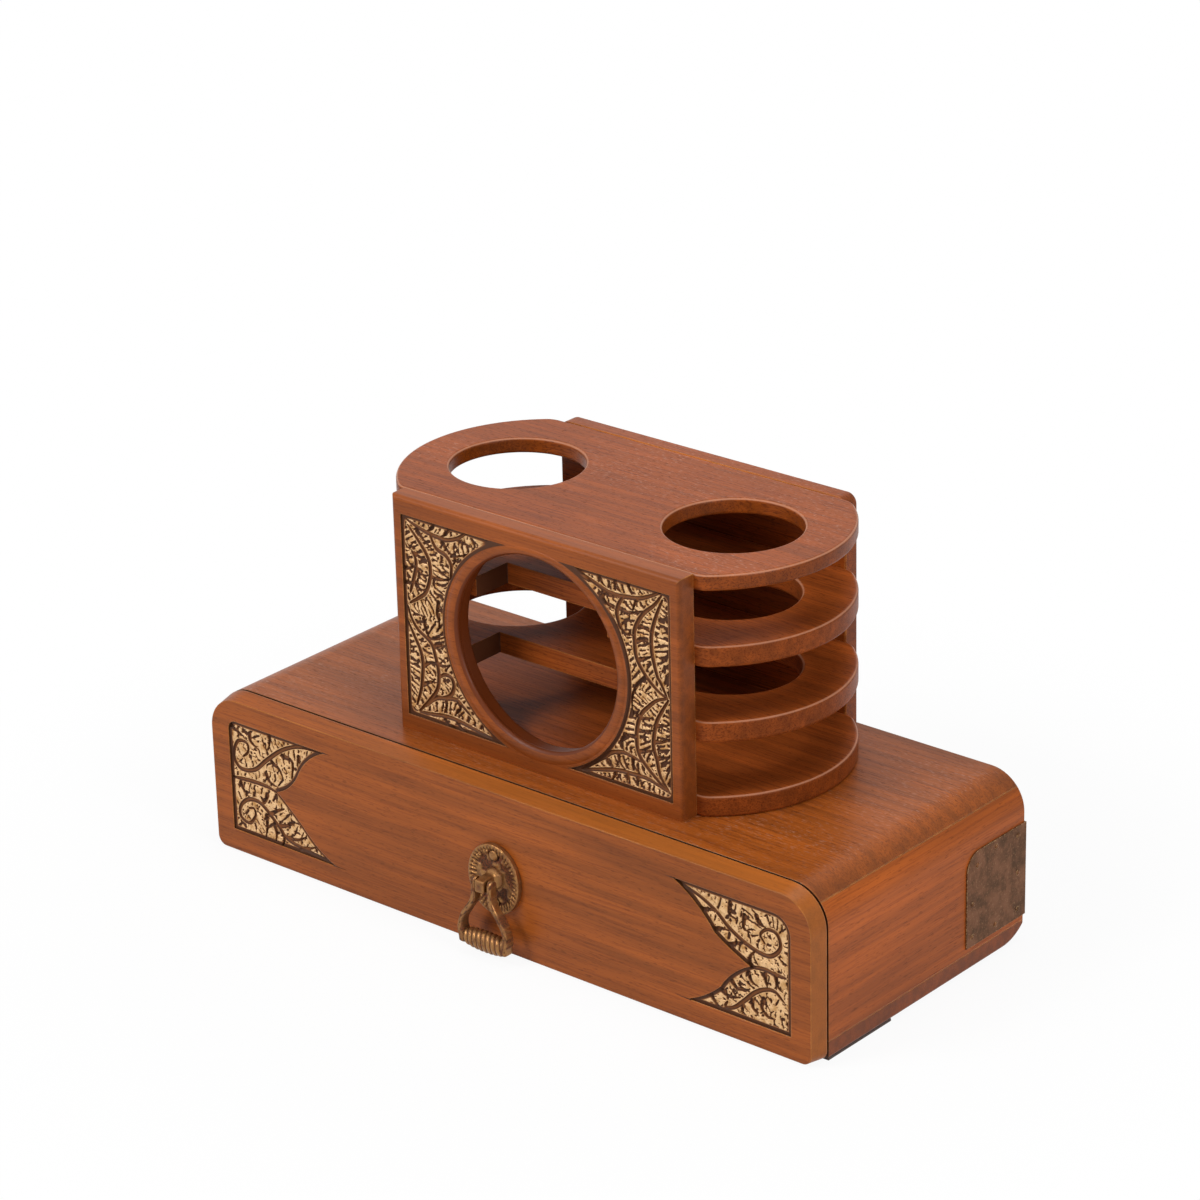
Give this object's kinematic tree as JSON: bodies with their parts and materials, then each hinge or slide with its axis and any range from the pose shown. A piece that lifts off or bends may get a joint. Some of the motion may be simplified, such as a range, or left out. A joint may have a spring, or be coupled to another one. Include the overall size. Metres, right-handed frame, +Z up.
{
  "type": "desk organizer with drawer",
  "caption": "Low wooden desk box with a pull-out drawer under a pen and letter holder of stacked shelves between two upright panels, with a carved front and a drop pull.",
  "frame": {"origin": "under the middle of the whole object's bounding box, on the surface that it stands on", "axes": "+X along the box to the right as seen from the drawer, +Y to the back, +Z up; the drawer opens towards -Y"},
  "size_m": [0.3022, 0.1404, 0.164],
  "materials": {
    "teak": "red-brown satin varnish",
    "dowel_wood": "bare turned hardwood",
    "plywood": "bare thin sheet",
    "felt": "pressed felt",
    "brass": "antique, darkened",
    "steel": "zinc plated"
  },
  "bodies": {
    "carcase": {"top_board": "teak", "right_side_board": "teak", "left_side_board": "teak", "back_board": "teak", "bottom_board": "teak", "bottom_shelf": "teak", "lower_middle_shelf": "teak", "upper_middle_shelf": "teak", "top_shelf": "teak", "front_panel": "teak", "back_panel": "teak", "box_dowels": "dowel_wood", "holder_dowels": "dowel_wood", "felt_pads": "felt", "corner_plate_nails": "brass", "right_corner_plate": "brass", "left_corner_plate": "brass", "holder_screws": "steel"},
    "drawer": {"drawer_front": "teak", "drawer_inner_front": "teak", "drawer_right_side": "teak", "drawer_left_side": "teak", "drawer_back": "teak", "drawer_bottom": "plywood", "drawer_pins": "steel", "front_screws": "steel", "pull_backplate": "brass", "backplate_nails": "brass", "pull_post": "brass", "pull_washer": "steel", "pull_nut": "steel"},
    "bail": {"pull_bail": "brass"}
  },
  "joints": [
    {"name": "drawer_slide", "type": "slide", "parent": "carcase", "child": "drawer", "axis": [0, -1, 0], "range_m": [0, 0.095]},
    {"name": "pull_swing", "type": "hinge", "parent": "drawer", "child": "bail", "pos_m": [0, -0.06725, 0.031], "axis": [-1, 0, 0], "range_deg": [-8, 180]}
  ]
}
